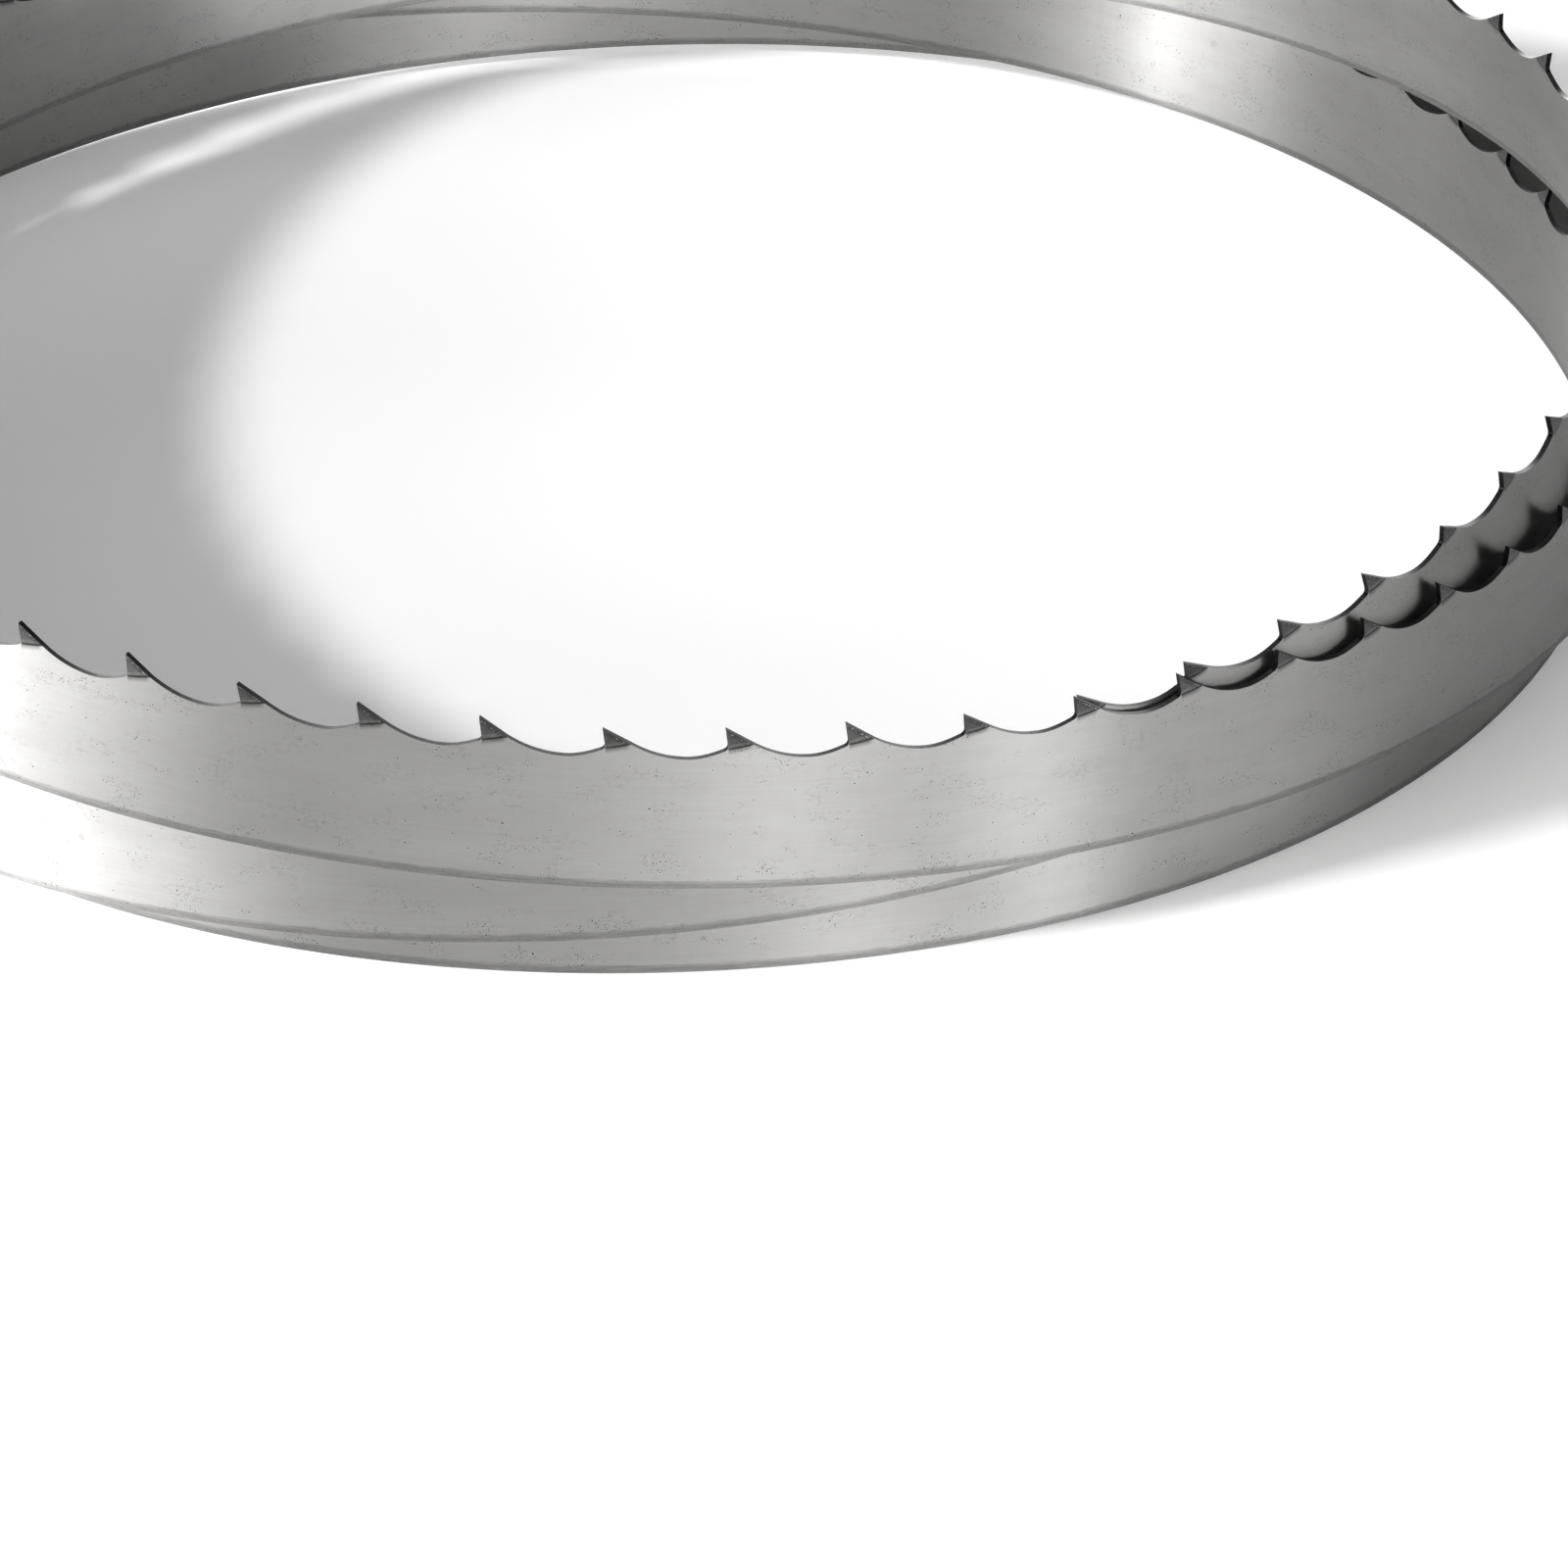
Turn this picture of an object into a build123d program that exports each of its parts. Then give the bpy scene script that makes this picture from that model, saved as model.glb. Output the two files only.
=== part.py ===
from build123d import *
import math
import os

os.makedirs("parts", exist_ok=True)

# Band saw blade: one endless strip of steel, toothed along its upper edge and folded
# into three turns that stand on their back edge. Millimetres, +Z up, floor at z = 0.

# the strip, laid flat
WIDTH = 34.0              # tooth tip to back edge
THICKNESS = 1.1
BEVEL_HEIGHT = 1.2        # ground corners of the back edge
BEVEL_DEPTH = 0.3
NOMINAL_PITCH = 22.225    # seven eighths of an inch

# the tooth, laid flat
HOOK_ANGLE = 10.0         # lean of the cutting face past square
BACK_ANGLE = 31.0         # slope behind the tip
FACE_HEIGHT = 4.2         # tip down to the foot of the cutting face
GULLET_DEPTH = 6.2        # tip line down to the lowest point of the gullet
GULLET_LOW_POINT = 0.71   # where the gullet is lowest, in pitches behind the tip
GULLET_EXIT_ANGLE = 24.0  # rise of the gullet as it meets the next cutting face
SLOPE_REACH = 5.3         # the straight slope and the bent corner end this far behind the tip
TOOTH_SET = 0.55          # sideways bend of a tip
SET_PATTERN = (-1, 1, 0)  # inward, outward, straight

# the coil, counter-clockwise from the front: one value at every eighth of a turn pulls
# the back edge in or out, in hundredths of the coil's radius, and one lifts it off the floor
COIL_RADIUS = 209.5
FIRST_TIP = 1997.6        # first tooth past the weld, along the strip from the front of the first turn
RADIUS_PULLS = (
    8.59, 4.30, 4.53, 3.34, -1.43, -4.53, -0.48, 5.73,
    6.92, 3.34, 1.67, -11.93, -12.89, -11.22, -4.06, 3.34,
    5.01, 3.10, -2.39, 0.48, -6.68, -9.79, -0.24, 11.46,
)
# lifts are in strip widths, as a turn has to clear a whole width where it crosses over
LIFTS = (
    0.68, 0.39, 0.27, 0.15, 0.07, -0.01, 0.01, 0.03,
    0.27, 0.67, 1.26, 1.20, 0.89, 0.60, 0.37, 0.02,
    0.01, 0.00, 0.00, 0.04, 0.43, 0.83, 1.28, 1.11,
)
VALUES_PER_TURN = 8
PATH_POINTS = 144


def blend(values, position):
    """Smooth closed curve pulled by evenly spaced values (uniform cubic B-spline)."""
    start = math.floor(position)
    t = position - start
    weights = ((1 - t) ** 3, 3 * t**3 - 6 * t**2 + 4, -3 * t**3 + 3 * t**2 + 3 * t + 1, t**3)
    near = (values[(start + step - 1) % len(values)] for step in range(4))
    return sum(weight * value for weight, value in zip(weights, near)) / 6


def coil_path():
    """Closed curve of the back edge."""
    points = []
    for index in range(PATH_POINTS):
        position = index * len(LIFTS) / PATH_POINTS
        angle = 2 * math.pi * position / VALUES_PER_TURN - math.pi / 2
        radius = COIL_RADIUS * (1 + blend(RADIUS_PULLS, position) / 100)
        lift = WIDTH * blend(LIFTS, position)
        points.append(Vector(radius * math.cos(angle), radius * math.sin(angle), lift))
    return Edge.make_spline(points, periodic=True)


path = coil_path()
TOOTH_COUNT = round(path.length / NOMINAL_PITCH)
PITCH = path.length / TOOTH_COUNT


def frame_at(distance):
    """Back-edge point, outward direction and upward direction of the strip."""
    middle = (distance / path.length) % 1.0
    reach = 0.5 / path.length
    before = path.tangent_at((middle - reach) % 1.0)
    after = path.tangent_at((middle + reach) % 1.0)
    along = path.tangent_at(middle)
    up = along.cross(after - before).normalized()
    return path.position_at(middle), along.cross(up).normalized(), up


SHORT_RUN = 5.0  # a stretch under this length is as good as straight
frames = {}


def place(distance, height, offset):
    """Point of the flat strip, carried to its place in the coil."""
    key = round(distance % path.length, 4)
    if key not in frames:
        frames[key] = frame_at(distance)
    point, outward, up = frames[key]
    return point + up * height + outward * offset


def flat_run(start, end, height, offset):
    """Edge that keeps one height along the strip."""
    if end - start < SHORT_RUN:
        return Edge.make_line(place(start, height, offset), place(end, height, offset))
    middle = (start + end) / 2
    return Edge.make_spline([place(s, height, offset) for s in (start, middle, end)])


# flat tooth form: (distance behind the tip, height above the back edge)
def below_tip_line(behind, depth):
    return behind, WIDTH - depth


hook = math.tan(math.radians(HOOK_ANGLE))
slope = math.tan(math.radians(BACK_ANGLE))
TIP = below_tip_line(0, 0)
FOOT = below_tip_line(FACE_HEIGHT * hook, FACE_HEIGHT)
SET_END = below_tip_line(SLOPE_REACH, SLOPE_REACH * slope)
GULLET_LOW = below_tip_line(GULLET_LOW_POINT * PITCH, GULLET_DEPTH)
NEXT_FOOT = (PITCH + FOOT[0], FOOT[1])
EXIT_STEP = (math.cos(math.radians(GULLET_EXIT_ANGLE)), math.sin(math.radians(GULLET_EXIT_ANGLE)))

GULLET = Spline(SET_END, GULLET_LOW, NEXT_FOOT, tangents=[(1, -slope), EXIT_STEP])
GULLET_STATIONS = (0, 0.25, 0.5, 0.75, 1)


def straight(start, end):
    return Edge.make_line(start, end)


def gullet_edge(tip_distance, offset):
    """The gullet behind one tooth, bent with the strip."""
    points = []
    for share in GULLET_STATIONS:
        behind, height, _ = GULLET @ share
        points.append(place(tip_distance + behind, height, offset))
    return Edge.make_spline(points)


def ruled(first, second):
    return Face.make_surface_from_curves(first, second)


def tooth_faces(index):
    """All the skin of one pitch of the strip, from one cutting face to the next."""
    tip_distance = FIRST_TIP + index * PITCH
    bend = TOOTH_SET * SET_PATTERN[index % len(SET_PATTERN)]
    foot_distance = tip_distance + FOOT[0]
    set_distance = tip_distance + SET_END[0]
    next_distance = tip_distance + NEXT_FOOT[0]
    spans = ((foot_distance, set_distance), (set_distance, next_distance))

    faces = []
    crossing_edges = []
    for side in (1, -1):
        skin = side * THICKNESS / 2
        tip = place(tip_distance, WIDTH, skin + bend)
        foot = place(foot_distance, FOOT[1], skin)
        set_end = place(set_distance, SET_END[1], skin)
        crease = straight(foot, set_end)
        gullet = gullet_edge(tip_distance, skin)
        for top, span in zip((crease, gullet), spans):
            shoulder = flat_run(*span, BEVEL_HEIGHT, skin)
            sole = flat_run(*span, 0, skin - side * BEVEL_DEPTH)
            faces.append(ruled(shoulder, top))
            faces.append(ruled(sole, shoulder))
        faces.append(Face(Wire([crease, straight(set_end, tip), straight(tip, foot)])))
        crossing_edges.append((straight(foot, tip), straight(tip, set_end), gullet))

    for outer, inner in zip(*crossing_edges):
        faces.append(ruled(outer, inner))
    for span in spans:
        sole_offset = THICKNESS / 2 - BEVEL_DEPTH
        faces.append(ruled(flat_run(*span, 0, sole_offset), flat_run(*span, 0, -sole_offset)))
    return faces


skin_faces = [face for index in range(TOOTH_COUNT) for face in tooth_faces(index)]
blade = Solid(Shell(skin_faces))
lowest = blade.bounding_box().min.Z
middle = blade.bounding_box().center()
blade = blade.moved(Location((-middle.X, -middle.Y, -lowest)))
blade.label = "blade"

export_step(blade, "parts/blade.step")
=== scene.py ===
import math

import bpy
import numpy as np
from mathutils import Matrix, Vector


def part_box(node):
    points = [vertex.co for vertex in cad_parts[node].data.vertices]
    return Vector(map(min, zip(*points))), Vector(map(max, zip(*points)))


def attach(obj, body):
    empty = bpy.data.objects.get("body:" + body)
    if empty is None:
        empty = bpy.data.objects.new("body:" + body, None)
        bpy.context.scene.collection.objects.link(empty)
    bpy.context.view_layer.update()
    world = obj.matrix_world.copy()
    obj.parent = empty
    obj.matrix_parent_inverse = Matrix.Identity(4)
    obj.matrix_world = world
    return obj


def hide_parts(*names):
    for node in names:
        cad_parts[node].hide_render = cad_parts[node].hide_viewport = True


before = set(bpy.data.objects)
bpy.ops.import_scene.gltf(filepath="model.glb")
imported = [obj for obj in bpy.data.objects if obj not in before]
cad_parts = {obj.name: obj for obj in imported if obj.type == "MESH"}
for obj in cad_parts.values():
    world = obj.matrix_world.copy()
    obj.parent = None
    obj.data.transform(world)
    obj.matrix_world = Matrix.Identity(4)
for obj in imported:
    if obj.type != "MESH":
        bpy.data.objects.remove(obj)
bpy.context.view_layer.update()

# Strip and coil, in metres: the same values as in the part's source
MM = 0.001
WIDTH = 34.0 * MM
THICKNESS = 1.1 * MM
BEVEL_HEIGHT = 1.2 * MM
BEVEL_DEPTH = 0.3 * MM
NOMINAL_PITCH = 22.225 * MM
COIL_RADIUS = 209.5 * MM
FIRST_TIP = 1997.6 * MM
RADIUS_PULLS = np.array([
    8.59, 4.30, 4.53, 3.34, -1.43, -4.53, -0.48, 5.73,
    6.92, 3.34, 1.67, -11.93, -12.89, -11.22, -4.06, 3.34,
    5.01, 3.10, -2.39, 0.48, -6.68, -9.79, -0.24, 11.46,
])
LIFTS = np.array([
    0.68, 0.39, 0.27, 0.15, 0.07, -0.01, 0.01, 0.03,
    0.27, 0.67, 1.26, 1.20, 0.89, 0.60, 0.37, 0.02,
    0.01, 0.00, 0.00, 0.04, 0.43, 0.83, 1.28, 1.11,
])
VALUES_PER_TURN = 8
PATH_STEPS = 7200

# Tooth, laid flat
HOOK_ANGLE = math.radians(10.0)
SLOPE = math.tan(math.radians(31.0))
FACE_HEIGHT = 4.2 * MM
GULLET_DEPTH = 6.2 * MM
GULLET_LOW_POINT = 0.71
EXIT_ANGLE = math.radians(24.0)
SLOPE_REACH = 5.3 * MM
TOOTH_SET = 0.55 * MM
SET_PATTERN = (-1, 1, 0)


def blend(values, position):
    """Uniform cubic B-spline through a closed list of pulls, with its first two derivatives."""
    start = np.floor(position).astype(int)
    t = position - start
    weights = (
        ((1 - t) ** 3, -3 * (1 - t) ** 2, 6 * (1 - t)),
        (3 * t**3 - 6 * t**2 + 4, 9 * t**2 - 12 * t, 18 * t - 12),
        (-3 * t**3 + 3 * t**2 + 3 * t + 1, -9 * t**2 + 6 * t + 3, -18 * t + 6),
        (t**3, 3 * t**2, 6 * t),
    )
    results = [0, 0, 0]
    for step, trio in enumerate(weights):
        near = values[(start + step - 1) % len(values)]
        for order in range(3):
            results[order] = results[order] + trio[order] * near / 6
    return results


class Coil:
    """Back edge of the strip, with its outward and upward directions, by distance along it."""

    def __init__(self):
        position = np.arange(PATH_STEPS + 1) * len(LIFTS) / PATH_STEPS
        rate = VALUES_PER_TURN / (2 * math.pi)
        angle = position / rate - math.pi / 2
        r, r1, r2 = (COIL_RADIUS * pull / 100 for pull in blend(RADIUS_PULLS, position))
        z, z1, z2 = (WIDTH * lift for lift in blend(LIFTS, position))
        r = r + COIL_RADIUS
        r1, z1, r2, z2 = r1 * rate, z1 * rate, r2 * rate**2, z2 * rate**2
        radial = np.stack([np.cos(angle), np.sin(angle), 0 * angle], 1)
        round_ = np.stack([-np.sin(angle), np.cos(angle), 0 * angle], 1)
        rise = np.array([0.0, 0.0, 1.0])
        self.point = r[:, None] * radial + z[:, None] * rise
        first = r1[:, None] * radial + r[:, None] * round_ + z1[:, None] * rise
        second = (r2 - r)[:, None] * radial + 2 * r1[:, None] * round_ + z2[:, None] * rise
        up = np.cross(first, second)
        self.up = up / np.linalg.norm(up, axis=1)[:, None]
        along = first / np.linalg.norm(first, axis=1)[:, None]
        self.outward = np.cross(along, self.up)
        steps = np.linalg.norm(np.diff(self.point, axis=0), axis=1)
        self.distance = np.concatenate([[0], np.cumsum(steps)])
        self.length = self.distance[-1]

    def place(self, distance, height, offset):
        """Points of the flat strip, carried to their places in the coil."""
        wrapped = np.mod(distance, self.length)

        def read(table):
            return np.stack([np.interp(wrapped, self.distance, table[:, k]) for k in range(3)], 1)

        back_edge_point = read(self.point)
        return back_edge_point + read(self.up) * height[:, None] + read(self.outward) * offset[:, None]


coil = Coil()
TEETH = round(coil.length / NOMINAL_PITCH)
PITCH = coil.length / TEETH

# Blade mesh: one pitch laid flat as (behind the tip, height), repeated along the coil
BODY_ROWS = (BEVEL_HEIGHT, 14.0 * MM, 24.0 * MM)
ROWS_BELOW_TOP = (1.3 * MM, 0.35 * MM)
CREASE_COLUMNS = 6
GULLET_COLUMNS = 24
CREASE_SAG = 0.16 * MM      # how far the crease of the bent corner hangs below a straight line
CREASE_DEPTH = 0.05 * MM    # how far it is pressed into the side
CREASE_BAND = 0.1           # share of the way from the crease to the tip
CORNER_REACH = 0.8 * MM     # the corner under each cutting face is rounded this far along both its sides
CORNER_STEPS = 5
TOOTH_MAP_UNIT = 10         # millimetres to one unit of the tooth's map
SHARP_ANGLE = math.radians(13)

FOOT = (FACE_HEIGHT * math.tan(HOOK_ANGLE), WIDTH - FACE_HEIGHT)
SLOPE_END = (SLOPE_REACH, WIDTH - SLOPE_REACH * SLOPE)
GULLET_LOW = (GULLET_LOW_POINT * PITCH, WIDTH - GULLET_DEPTH)
NEXT_FOOT = (PITCH + FOOT[0], FOOT[1])
CORNER_START = (
    NEXT_FOOT[0] - CORNER_REACH * math.cos(EXIT_ANGLE),
    NEXT_FOOT[1] - CORNER_REACH * math.sin(EXIT_ANGLE),
)


def hermite(u, start, end, start_slope, end_slope):
    """Cubic from start to end with a slope given at each."""
    span = end[0] - start[0]
    t = (u - start[0]) / span
    return (
        start[1] * (2 * t**3 - 3 * t**2 + 1)
        + end[1] * (3 * t**2 - 2 * t**3)
        + span * start_slope * (t**3 - 2 * t**2 + t)
        + span * end_slope * (t**3 - t**2)
    )


def crease_line(u):
    """Height of the straight line from a foot to the end of its slope."""
    return FOOT[1] + (u - FOOT[0]) * (SLOPE_END[1] - FOOT[1]) / (SLOPE_END[0] - FOOT[0])


def top_line(u):
    """Upper boundary of the strip's flat side, from one cutting face's foot to the next."""
    if u <= SLOPE_END[0]:
        share = (u - FOOT[0]) / (SLOPE_END[0] - FOOT[0])
        return crease_line(u) - CREASE_SAG * 4 * share * (1 - share)
    if u <= GULLET_LOW[0]:
        return hermite(u, SLOPE_END, GULLET_LOW, -SLOPE, 0)
    if u <= CORNER_START[0]:
        return hermite(u, GULLET_LOW, CORNER_START, 0, math.tan(EXIT_ANGLE))
    return NEXT_FOOT[1]


def corner_points():
    """Arc from the last gullet's end to the cutting face: the foot's corner, rounded."""
    start = np.array([CORNER_START[0] - PITCH, CORNER_START[1]])
    corner = np.array(FOOT)
    end = corner + CORNER_REACH * np.array([-math.sin(HOOK_ANGLE), math.cos(HOOK_ANGLE)])
    middle_weight = math.cos((math.radians(90) + HOOK_ANGLE - EXIT_ANGLE) / 2)
    points = []
    for step in range(1, CORNER_STEPS + 1):
        t = step / CORNER_STEPS
        weights = (1 - t) ** 2, 2 * t * (1 - t) * middle_weight, t**2
        points.append((weights[0] * start + weights[1] * corner + weights[2] * end) / sum(weights))
    return points


def bend_share(u, height):
    """How much of a tip's bend reaches a point of its corner."""
    return max(0.0, (height - crease_line(u)) / (WIDTH - crease_line(0)))


SIDE, CUT, CORNER, BACK = range(4)


def tooth_template():
    """Points (behind, height, offset, bend share) and faces of one pitch of the strip."""
    half = THICKNESS / 2
    sole = half - BEVEL_DEPTH
    columns = list(np.linspace(FOOT[0], SLOPE_END[0], CREASE_COLUMNS))
    columns += list(np.linspace(SLOPE_END[0], CORNER_START[0], GULLET_COLUMNS + 1)[1:])
    columns += [NEXT_FOOT[0]]
    points, faces, rings = [], [], []
    for column, u in enumerate(columns[:-1]):
        top = top_line(u)
        heights = list(BODY_ROWS) + [top - below for below in ROWS_BELOW_TOP] + [top]
        pressed = CREASE_DEPTH if 0 < column < CREASE_COLUMNS - 1 else 0
        skins = [half] * (len(heights) - 1) + [half - pressed]
        ring = [(u, height, skin, 0) for height, skin in zip(heights, skins)]
        ring += [(u, height, -skin, 0) for height, skin in reversed(list(zip(heights, skins)))]
        ring += [(u, 0, -sole, 0), (u, 0, sole, 0)]
        rings.append(range(len(points), len(points) + len(ring)))
        points += ring
    size = len(rings[0])
    rows = len(BODY_ROWS) + len(ROWS_BELOW_TOP) + 1
    rings.append([("next", k) for k in range(size)])
    for column in range(len(columns) - 1):
        here, there = rings[column], rings[column + 1]
        on_crease = column < CREASE_COLUMNS - 1
        on_corner = column == len(columns) - 2
        for k in range(size):
            if k == rows - 1 and (on_crease or on_corner):
                continue
            after = (k + 1) % size
            kind = CUT if k == rows - 1 else BACK if k >= 2 * rows - 1 else SIDE
            faces.append(((here[k], there[k], there[after], here[after]), kind))

    # the bent corner: a narrow band over the crease, a fan to the tip, and the rounded foot
    tips, slope_ends, roundings = [], [], []
    for side in (1, -1):
        top_row = rows - 1 if side > 0 else rows
        crease = [ring[top_row] for ring in rings[:CREASE_COLUMNS]]
        tip = len(points)
        points.append((0, WIDTH, side * half, 1))
        band = [crease[0]]
        for corner in crease[1:-1]:
            u, height = points[corner][:2]
            band.append(len(points))
            u, height = u * (1 - CREASE_BAND), height + (WIDTH - height) * CREASE_BAND
            points.append((u, height, side * half, bend_share(u, height)))
        band.append(crease[-1])
        rounding = [("last", top_row)]
        for u, height in corner_points():
            rounding.append(len(points))
            points.append((u, height, side * half, bend_share(u, height)))
        fans = []
        for c in range(CREASE_COLUMNS - 1):
            strip = [crease[c], crease[c + 1], band[c + 1], band[c]]
            fans.append((list(dict.fromkeys(strip)), CORNER))
            foot = [rounding[-1]] if c == 0 else []
            fans.append(([band[c], band[c + 1], tip, *foot], CORNER))
        for first, second in zip(rounding, rounding[1:]):
            fans.append(([crease[0], second, first], SIDE))
        faces += [(corners[::side], kind) for corners, kind in fans]
        tips.append(tip)
        slope_ends.append(crease[-1])
        roundings.append(rounding)
    outer, inner = roundings
    for step in range(CORNER_STEPS):
        faces.append(((outer[step], outer[step + 1], inner[step + 1], inner[step]), CUT))
    faces.append(((outer[-1], tips[0], tips[1], inner[-1]), CUT))
    faces.append(((tips[0], slope_ends[0], slope_ends[1], tips[1]), CUT))
    return np.array(points), faces, rings[len(columns) - 2]


def blade_mesh():
    """The strip's mesh, with a map along the strip and a map of each tooth."""
    points, faces, last_ring = tooth_template()
    count = len(points)
    tooth = np.repeat(np.arange(TEETH), count)
    flat = np.tile(points, (TEETH, 1))
    distance = FIRST_TIP + tooth * PITCH + flat[:, 0]
    bend = TOOTH_SET * np.array(SET_PATTERN)[tooth % len(SET_PATTERN)]
    vertices = coil.place(distance, flat[:, 1], flat[:, 2] + flat[:, 3] * bend)

    # a corner is a point of this pitch, or of the next or the last one's ring
    corners, behind, height, sizes, kinds = [], [], [], [], []
    for face, kind in faces:
        for corner in face:
            if isinstance(corner, tuple):
                step = 1 if corner[0] == "next" else -1
                index = corner[1] if step > 0 else last_ring[corner[1]]
            else:
                step, index = 0, corner
            corners.append((step, index))
            behind.append(points[index][0] + step * PITCH)
            height.append(points[index][1])
        sizes.append(len(face))
        kinds.append(kind)
    steps, indices = np.array(corners).T
    behind, height = np.array(behind), np.array(height)
    owner = (np.arange(TEETH)[:, None] + steps[None, :]) % TEETH
    loops = (owner * count + indices[None, :]).ravel()
    starts = np.concatenate([[0], np.cumsum(np.tile(sizes, TEETH))])
    all_faces = [loops[a:b].tolist() for a, b in zip(starts, starts[1:])]

    mesh = bpy.data.meshes.new("blade_strip")
    mesh.from_pydata(vertices.tolist(), [], all_faces)
    along = FIRST_TIP + np.arange(TEETH)[:, None] * PITCH + behind[None, :]
    strip = np.stack([along.ravel(), np.tile(height, TEETH)], 1)
    local = np.tile(np.stack([behind, WIDTH - height], 1) / (TOOTH_MAP_UNIT * MM), (TEETH, 1))
    mesh.uv_layers.new(name="strip").data.foreach_set("uv", strip.ravel())
    mesh.uv_layers.new(name="tooth").data.foreach_set("uv", local.ravel())
    mesh.polygons.foreach_set("material_index", np.tile(kinds, TEETH))
    mesh.update()
    return mesh


blade = bpy.data.objects.new("blade_strip", blade_mesh())
bpy.context.collection.objects.link(blade)
low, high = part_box("blade")
places = np.array([v.co for v in blade.data.vertices])
shift = np.array([(low[0] + high[0]) / 2, (low[1] + high[1]) / 2, low[2]])
shift -= np.array([*(places.min(0)[:2] + places.max(0)[:2]) / 2, places[:, 2].min()])
blade.data.vertices.foreach_set("co", (places + shift).ravel())
blade.data.shade_smooth()
split = blade.modifiers.new("sharp_edges", "EDGE_SPLIT")
split.split_angle = SHARP_ANGLE


# Materials
STEEL_TINT = (1.0, 0.992, 0.976)
BRUSH_TURN = 0.25           # of a full turn: the highlight runs across the brushing lines
SIDE_LEVEL, SIDE_ROUGHNESS, SIDE_RELIEF = 0.335, 0.43, 0.02
CUT_LEVEL, CUT_ROUGHNESS = 0.05, 0.48
CORNER_LEVEL, CORNER_ROUGHNESS = 0.068, 0.45
BACK_LEVEL, BACK_ROUGHNESS = 0.215, 0.45
WOBBLE_SCALE = 4.0          # waves per millimetre in the outline of a ragged spot


class Steel:
    """One steel, with short ways to add nodes to it."""

    def __init__(self, name, roughness, anisotropy):
        self.material = bpy.data.materials.new(name)
        self.material.use_nodes = True
        self.tree = self.material.node_tree
        self.shader = self.tree.nodes["Principled BSDF"]
        self.set(self.shader, {
            "Metallic": 1.0, "Roughness": roughness,
            "Anisotropic": anisotropy, "Anisotropic Rotation": BRUSH_TURN,
        })
        tangent = self.add("Tangent", {}, direction_type="UV_MAP", uv_map="strip")
        self.set(self.shader, {"Tangent": tangent.outputs[0]})
        self.strip = self.add("UVMap", {}, uv_map="strip").outputs["UV"]
        tooth = self.add("UVMap", {}, uv_map="tooth").outputs["UV"]
        apart = self.add("SeparateXYZ", {"Vector": tooth})
        # millimetres behind the tip and below the tip line
        self.behind = self.math("MULTIPLY", apart.outputs["X"], TOOTH_MAP_UNIT)
        self.depth = self.math("MULTIPLY", apart.outputs["Y"], TOOTH_MAP_UNIT)

    def set(self, node, inputs):
        for key, value in inputs.items():
            if isinstance(value, bpy.types.NodeSocket):
                self.tree.links.new(value, node.inputs[key])
            else:
                node.inputs[key].default_value = value

    def add(self, kind, inputs, **settings):
        node = self.tree.nodes.new("ShaderNode" + kind)
        for key, value in settings.items():
            setattr(node, key, value)
        self.set(node, inputs)
        return node

    def math(self, operation, first, second=0.0):
        return self.add("Math", {0: first, 1: second}, operation=operation).outputs[0]

    def product(self, *factors):
        result = factors[0]
        for factor in factors[1:]:
            result = self.math("MULTIPLY", result, factor)
        return result

    def fade(self, value, start, end, before=0.0, after=1.0):
        """One level before the start, another after the end, and a soft step between."""
        inputs = {"Value": value, "From Min": start, "From Max": end, "To Min": before, "To Max": after}
        return self.add("MapRange", inputs, interpolation_type="SMOOTHSTEP").outputs["Result"]

    def stretch(self, value, low, high):
        """Turns a 0 to 1 value into one from low to high."""
        return self.add("MapRange", {"Value": value, "To Min": low, "To Max": high}).outputs["Result"]

    def spread(self, along, across):
        """The strip's map, with one unit this long and this high in millimetres."""
        scale = (1 / (along * MM), 1 / (across * MM), 1)
        return self.add("Mapping", {"Vector": self.strip, "Scale": scale}).outputs["Vector"]

    def noise(self, along, across, detail=2.0):
        inputs = {"Vector": self.spread(along, across), "Scale": 1.0, "Detail": detail}
        return self.add("TexNoise", inputs, noise_dimensions="2D").outputs["Fac"]

    def vary(self, value, amount):
        """Turns a 0 to 1 value with its middle at 0.5 into a factor around 1."""
        return self.stretch(value, 1 - amount, 1 + amount)

    def spots(self, cell, share, least, most, ragged=0.0):
        """Spots at random places, and the rims around them, where highlights are painted.

        Cell size, radii and raggedness are in millimetres; share is the part of the cells that
        has a spot.
        """
        place = self.spread(cell, cell)
        wobble_inputs = {"Vector": place, "Scale": WOBBLE_SCALE * cell, "Detail": 1.0}
        wobble = self.add("TexNoise", wobble_inputs, noise_dimensions="2D").outputs["Color"]
        push = {0: wobble, 1: (ragged / cell,) * 3, 2: place}
        moved = self.add("VectorMath", push, operation="MULTIPLY_ADD").outputs["Vector"]
        cell_inputs = {"Vector": moved, "Scale": 1.0}
        cells = self.add("TexVoronoi", cell_inputs, voronoi_dimensions="2D", feature="F1")
        chance = self.add("SeparateColor", {"Color": cells.outputs["Color"]})
        there = self.math("LESS_THAN", chance.outputs["Red"], share)
        size = self.product(chance.outputs["Green"], chance.outputs["Green"])
        radius = self.stretch(size, least / cell, most / cell)
        reach = self.math("DIVIDE", cells.outputs["Distance"], radius)
        spot = self.product(self.fade(reach, 0.5, 1.2, 1.0, 0.0), there)
        highlight_rim = self.product(self.fade(reach, 1.0, 1.5), self.fade(reach, 2.4, 1.6), there)
        return spot, highlight_rim

    def less(self, mask, amount):
        """Factor that takes this share away under a mask."""
        return self.math("SUBTRACT", 1.0, self.math("MULTIPLY", mask, amount))

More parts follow.
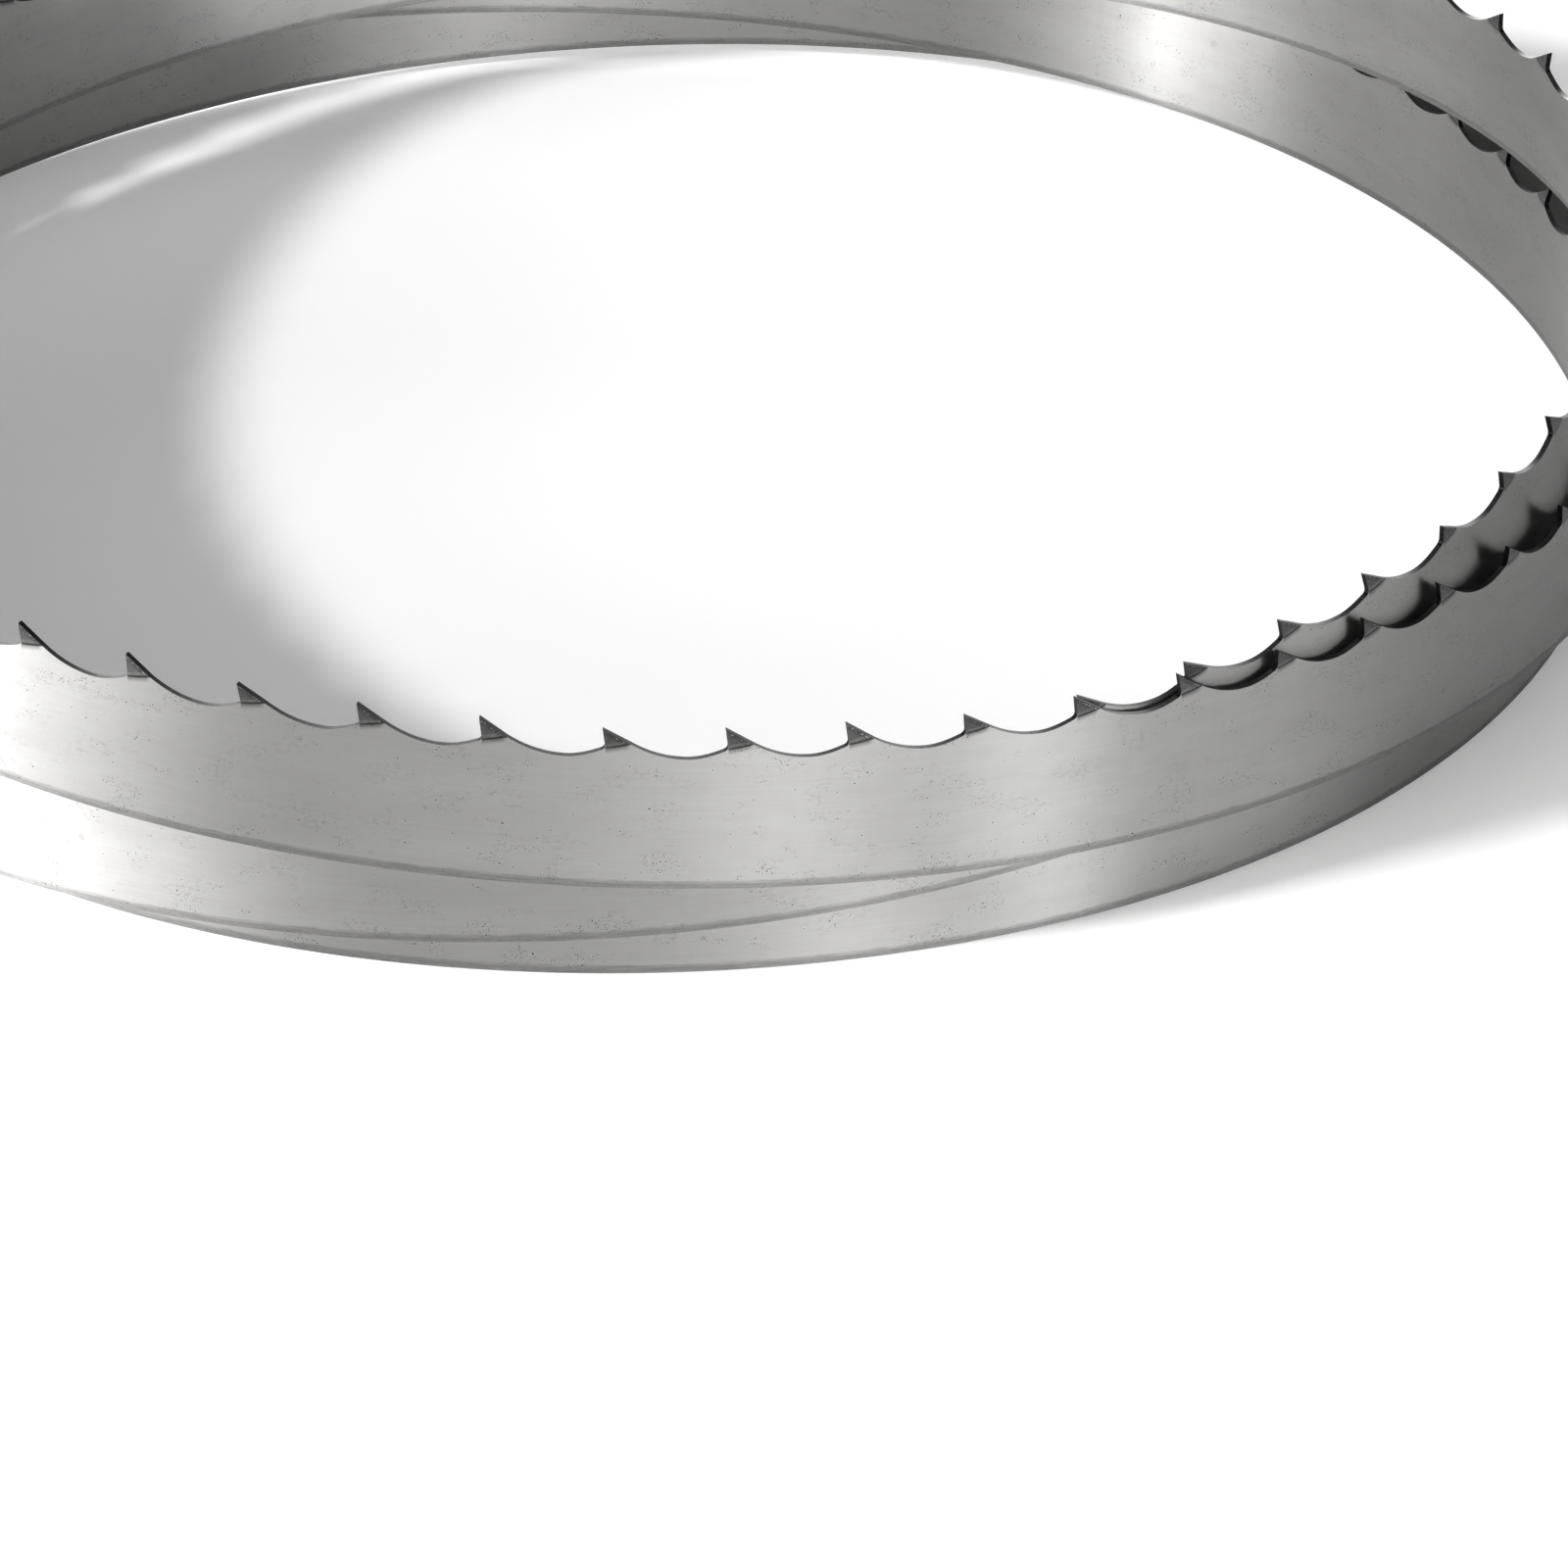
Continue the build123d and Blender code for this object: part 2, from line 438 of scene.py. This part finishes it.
    def finish(self, level, tone, bump=None, rough=None):
        color = [level * part for part in STEEL_TINT]
        scaled = self.add("VectorMath", {0: color, "Scale": tone}, operation="SCALE").outputs["Vector"]
        self.set(self.shader, {"Base Color": scaled})
        if rough is not None:
            self.set(self.shader, {"Roughness": rough})
        if bump is not None:
            height, depth = bump
            node = self.add("Bump", {"Height": height, "Strength": 1.0, "Distance": depth * MM})
            self.set(self.shader, {"Normal": node.outputs["Normal"]})
        return self.material


def crease_distance(steel):
    """Millimetres below the crease of the bent corner, less than zero above it."""
    fall = (FOOT[1] - SLOPE_END[1]) / (SLOPE_END[0] - FOOT[0])
    start = (WIDTH - FOOT[1] - fall * FOOT[0]) / MM
    line = steel.math("ADD", steel.math("MULTIPLY", steel.behind, fall), start)
    return steel.math("SUBTRACT", steel.depth, line)


def brushed_side():
    steel = Steel("brushed_side", SIDE_ROUGHNESS, 1.0)
    patch = steel.noise(80, 16, 2)
    cloud = steel.noise(9, 4, 3)
    streak = steel.noise(38, 0.55, 3)
    fine = steel.noise(14, 0.2, 2)
    scratch = steel.fade(steel.noise(24, 0.14, 1), 0.70, 0.78)
    chatter = steel.noise(1.6, 60, 1)
    cluster = steel.noise(10, 5.5, 3)
    height = steel.math("SUBTRACT", WIDTH / MM, steel.depth)

    # pits crowd near the back edge and near the gullets
    edge = steel.math("MAXIMUM", steel.fade(height, 12, 4), steel.fade(height, 22, 28))
    crowd = steel.product(steel.fade(cluster, 0.54, 0.68), steel.math("ADD", edge, 0.35), 0.55)
    # the rims around pits and flecks brighten the tone: painted highlights
    pits, pit_rim_highlights = steel.spots(0.48, steel.math("ADD", 0.010, crowd), 0.05, 0.19, 0.25)
    fleck_share = steel.math("ADD", 0.016, steel.math("MULTIPLY", crowd, 0.55))
    flecks, fleck_rim_highlights = steel.spots(2.2, fleck_share, 0.09, 0.25, 0.35)
    smudges = steel.spots(26, 0.3, 0.6, 1.4, 0.8)[0]
    stain = steel.fade(steel.noise(1.3, 0.7, 4), 0.48, 0.66)
    stains = steel.product(stain, steel.fade(cluster, 0.50, 0.64))

    # the side is darker along its back edge, up to a ragged border
    border = steel.math("ADD", height, steel.stretch(steel.noise(4.5, 2.0, 4), 0.5, -0.5))
    wear = steel.vary(steel.noise(9, 0.45, 4), 0.9)
    bevel_end = BEVEL_HEIGHT / MM
    darker_back_band = steel.product(steel.fade(border, bevel_end + 0.95, bevel_end + 0.25), wear)

    # a painted highlight: a bright glint on a burr at some of the rounded corners under the cutting
    # faces
    painted_burr_glint = steel.product(
        steel.fade(steel.behind, -0.8, -0.4), steel.fade(steel.behind, 0.3, 0.0),
        steel.fade(steel.depth, 4.3, 4.5), steel.fade(steel.depth, 5.3, 4.8),
        steel.fade(steel.noise(0.5, 0.5, 3), 0.45, 0.6), steel.fade(steel.noise(45, 500, 1), 0.45, 0.55),
    )

    below = crease_distance(steel)
    # painted shade: the side darkens just under the crease of each bent corner
    shade_under_crease = steel.product(
        steel.fade(steel.behind, 0.2, 0.9), steel.fade(steel.behind, 5.6, 4.2),
        steel.fade(below, 1.3, 0.0),
    )
    tone = steel.product(
        steel.vary(patch, 0.10), steel.vary(cloud, 0.08), steel.vary(streak, 0.036),
        steel.vary(fine, 0.024), steel.vary(chatter, 0.015),
        steel.less(pits, 0.62), steel.less(flecks, 0.75), steel.less(smudges, 0.14),
        steel.less(stains, 0.10), steel.less(darker_back_band, 0.30), steel.less(shade_under_crease, 0.6),
        steel.less(painted_burr_glint, -0.9), steel.less(pit_rim_highlights, -0.16), steel.less(fleck_rim_highlights, -0.14),
        steel.less(scratch, -0.05),
    )
    dents = steel.math("ADD", pits, flecks)
    relief = steel.math("SUBTRACT", steel.math("MULTIPLY", streak, 0.05), dents)
    rough = steel.math("MULTIPLY", steel.vary(cloud, 0.12), SIDE_ROUGHNESS)
    return steel.finish(SIDE_LEVEL, tone, bump=(relief, SIDE_RELIEF), rough=rough)


def cut_edge():
    steel = Steel("cut_edge", CUT_ROUGHNESS, 0.0)
    grain = steel.noise(0.5, 30, 3)
    mottle = steel.noise(1.6, 1.6, 3)
    # painted shade: the cut faces darken near each tip
    shade_near_tip = steel.product(steel.fade(steel.behind, 6.5, 2.5), steel.fade(steel.behind, -0.5, 0.2))
    tone = steel.product(steel.vary(grain, 0.5), steel.vary(mottle, 0.5), steel.less(shade_near_tip, 0.8))
    return steel.finish(CUT_LEVEL, tone)


def set_corner():
    steel = Steel("set_corner", CORNER_ROUGHNESS, 0.6)
    mottle = steel.noise(1.3, 0.5, 4)
    below = crease_distance(steel)
    # painted shade: a dark line along the crease
    crease = steel.fade(below, -0.35, -0.10, 1.0, 0.4)
    # painted highlight: a light band just above the crease
    band = steel.product(steel.fade(below, -1.1, -0.7), steel.fade(below, -0.3, -0.5))
    from_slope = steel.math("SUBTRACT", steel.depth, steel.math("MULTIPLY", steel.behind, SLOPE))
    # painted highlight: a broken bright line along the slope
    highlight_rim = steel.product(steel.fade(from_slope, 0.15, 0.25), steel.fade(from_slope, 0.6, 0.4))
    broken = steel.fade(steel.noise(0.4, 0.4, 3), 0.52, 0.66)
    # painted shade: the corner darkens near the slope
    shade_near_slope = steel.fade(from_slope, 1.3, 0.3)
    tone = steel.product(
        steel.vary(mottle, 0.4), crease, steel.less(band, -0.55), steel.less(shade_near_slope, 0.45),
        steel.less(steel.product(highlight_rim, broken), -4.5),
    )
    return steel.finish(CORNER_LEVEL, tone)


def back_edge():
    steel = Steel("back_edge", BACK_ROUGHNESS, 1.0)
    wear = steel.noise(9, 0.45, 4)
    mottle = steel.noise(1.2, 0.6, 3)
    return steel.finish(BACK_LEVEL, steel.product(steel.vary(wear, 0.35), steel.vary(mottle, 0.2)))


for material in (brushed_side(), cut_edge(), set_corner(), back_edge()):
    blade.data.materials.append(material)
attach(blade, "root")
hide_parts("blade")


# Floor, light and camera
FLOOR_SIZE = 8
FLOOR_WHITE = 0.92
FLOOR_GLOW = 0.075          # added to the floor as it is seen, never to the light it throws back


def white_floor():
    """Matt white, a little brighter to the camera and in mirrors than in the light it throws back."""
    material = bpy.data.materials.new("floor")
    material.use_nodes = True
    nodes, links = material.node_tree.nodes, material.node_tree.links
    path = nodes.new("ShaderNodeLightPath")
    seen = path.outputs["Is Camera Ray"]
    for ray in ("Is Glossy Ray", "Is Transmission Ray"):
        either = nodes.new("ShaderNodeMath")
        either.operation = "MAXIMUM"
        links.new(seen, either.inputs[0])
        links.new(path.outputs[ray], either.inputs[1])
        seen = either.outputs[0]
    white = nodes.new("ShaderNodeMix")
    white.data_type = "RGBA"
    links.new(seen, white.inputs["Factor"])
    white.inputs["A"].default_value = (FLOOR_WHITE, FLOOR_WHITE, FLOOR_WHITE, 1)
    white.inputs["B"].default_value = (1, 1, 1, 1)
    shader = nodes["Principled BSDF"]
    links.new(white.outputs["Result"], shader.inputs["Base Color"])
    shader.inputs["Roughness"].default_value = 0.9
    shader.inputs["Specular IOR Level"].default_value = 0.0
    glow = nodes.new("ShaderNodeMath")
    glow.operation = "MULTIPLY"
    glow.inputs[1].default_value = FLOOR_GLOW
    links.new(seen, glow.inputs[0])
    shader.inputs["Emission Color"].default_value = (1, 1, 1, 1)
    links.new(glow.outputs[0], shader.inputs["Emission Strength"])
    return material


bpy.ops.mesh.primitive_plane_add(size=FLOOR_SIZE, location=(0, 0, 0))
floor = bpy.context.object
floor.name = "floor"
floor.data.materials.append(white_floor())


def bearing_vector(bearing, elevation):
    """Direction from a bearing in degrees counter-clockwise from +X and an elevation."""
    a, e = math.radians(bearing), math.radians(elevation)
    return Vector((math.cos(a) * math.cos(e), math.sin(a) * math.cos(e), math.sin(e)))


def area_lamp(name, shape, width, height, watts, place, facing):
    """Lamp at a place, turned so that its back looks along a direction."""
    light = bpy.data.lights.new(name, "AREA")
    light.shape = shape
    light.size, light.size_y = width, height
    light.energy = watts
    lamp = bpy.data.objects.new(name, light)
    lamp.location = place
    lamp.rotation_euler = facing.to_track_quat("Z", "Y").to_euler()
    bpy.context.collection.objects.link(lamp)
    return lamp


# The key lamp, low at the left, throws the floor's shadow and isn't mirrored
KEY_WIDTH, KEY_HEIGHT, KEY_WATTS = 1.35, 0.55, 700
KEY_DISTANCE = 8.0
toward_key = bearing_vector(206.0, 27.8)
key = area_lamp(
    "key", "ELLIPSE", KEY_WIDTH, KEY_HEIGHT, KEY_WATTS, toward_key * KEY_DISTANCE, toward_key,
)
key.visible_glossy = False

# A tall panel near the object, only for the bright band that it mirrors at the back and at the left end
PANEL_WIDTH, PANEL_HEIGHT, PANEL_WATTS = 0.15, 0.56, 7
PANEL_DISTANCE, PANEL_MIDDLE = 1.4, 0.34
toward_panel = bearing_vector(207.5, 0)
panel_place = toward_panel * PANEL_DISTANCE + Vector((0, 0, PANEL_MIDDLE))
panel = area_lamp(
    "panel", "RECTANGLE", PANEL_WIDTH, PANEL_HEIGHT, PANEL_WATTS, panel_place, toward_panel,
)
panel.visible_diffuse = False
panel.visible_camera = False

# The studio around: boxes of light, as (bearing, level at the horizon, level over it)
BOXES = (
    (-180, 2.2, 2.2), (-172, 4.7, 4.7), (-166, 9.8, 9.8), (-160, 14.4, 14.4), (-154, 16.4, 16.4),
    (-148, 14.5, 14.5), (-142, 12.3, 12.3), (-134, 7.5, 7.5), (-126, 3.2, 3.2), (-120, 2.5, 2.5),
    (-114, 1.9, 1.9), (-106, 3.1, 3.1), (-96, 2.9, 2.9), (-88, 3.6, 3.6), (-81, 4.7, 4.7),
    (-74, 6.4, 6.4), (-67, 11.9, 11.9), (-60, 7.3, 7.3), (-52, 5.5, 5.2), (-44, 35.9, 0.6),
    (-34, 6.4, 0.0), (-20, 7.0, 0.0), (0, 0.0, 0.0), (55, 0.0, 0.0), (90, 11.2, 11.2), (120, 1.8, 1.8),
    (140, 0.0, 0.0), (155, 0.8, 0.8), (168, 2.6, 2.6),
)
DARK_BAND = 0.05
CEILING = 0.45
# sines of the elevations between which one light gives way to the next
OVER_HORIZON = 0.10, 0.14
INTO_DARK_BAND = 0.30, 0.42
INTO_CEILING = 0.72, 0.82

world = bpy.data.worlds.new("studio")
bpy.context.scene.world = world
world.use_nodes = True
nodes, links = world.node_tree.nodes, world.node_tree.links
direction = nodes.new("ShaderNodeTexCoord").outputs["Generated"]
bearing_share = nodes.new("ShaderNodeTexGradient")
bearing_share.gradient_type = "RADIAL"
links.new(direction, bearing_share.inputs["Vector"])
direction_parts = nodes.new("ShaderNodeSeparateXYZ")
links.new(direction, direction_parts.inputs[0])


def boxes_by_bearing(level):
    """Light by bearing, from one box to the next: the first or the second level of each."""
    ramp = nodes.new("ShaderNodeValToRGB")
    links.new(bearing_share.outputs["Fac"], ramp.inputs["Fac"])
    elements = ramp.color_ramp.elements
    elements.remove(elements[-1])
    for index, box in enumerate(BOXES + ((180, *BOXES[0][1:]),)):
        share = (box[0] + 180) / 360
        element = elements[0] if index == 0 else elements.new(share)
        element.position = share
        element.color = (box[level],) * 3 + (1,)
    return ramp.outputs["Color"]


def over(lower, upper, start, end):
    """One light below a height (sine of elevation), another above it."""
    rise = nodes.new("ShaderNodeMapRange")
    rise.interpolation_type = "SMOOTHSTEP"
    rise.inputs["From Min"].default_value = start
    rise.inputs["From Max"].default_value = end
    links.new(direction_parts.outputs["Z"], rise.inputs["Value"])
    mix = nodes.new("ShaderNodeMix")
    mix.data_type = "RGBA"
    links.new(rise.outputs["Result"], mix.inputs["Factor"])
    links.new(lower, mix.inputs["A"])
    if isinstance(upper, float):
        mix.inputs["B"].default_value = (upper, upper, upper, 1)
    else:
        links.new(upper, mix.inputs["B"])
    return mix.outputs["Result"]


walls = over(boxes_by_bearing(1), boxes_by_bearing(2), *OVER_HORIZON)
walls = over(walls, DARK_BAND, *INTO_DARK_BAND)
links.new(over(walls, CEILING, *INTO_CEILING), nodes["Background"].inputs["Color"])

# The camera, as fitted to the photograph
FOCAL_PIXELS = 6312.46
PHOTO_WIDTH = 1600
SENSOR = 36.0
CAMERA_FROM_COIL = np.array([32.952, -1192.488, 606.658]) * MM
CAMERA_DIP = 30.1644
CLOSEST, FARTHEST = 0.05, 50
camera_data = bpy.data.cameras.new("camera")
camera_data.sensor_width = SENSOR
camera_data.lens = FOCAL_PIXELS / PHOTO_WIDTH * SENSOR
camera_data.clip_start, camera_data.clip_end = CLOSEST, FARTHEST
camera = bpy.data.objects.new("camera", camera_data)
camera.location = CAMERA_FROM_COIL + shift
camera.rotation_euler = (math.radians(90 - CAMERA_DIP), 0, 0)
bpy.context.collection.objects.link(camera)
bpy.context.scene.camera = camera

bpy.context.scene.view_settings.view_transform = "Standard"
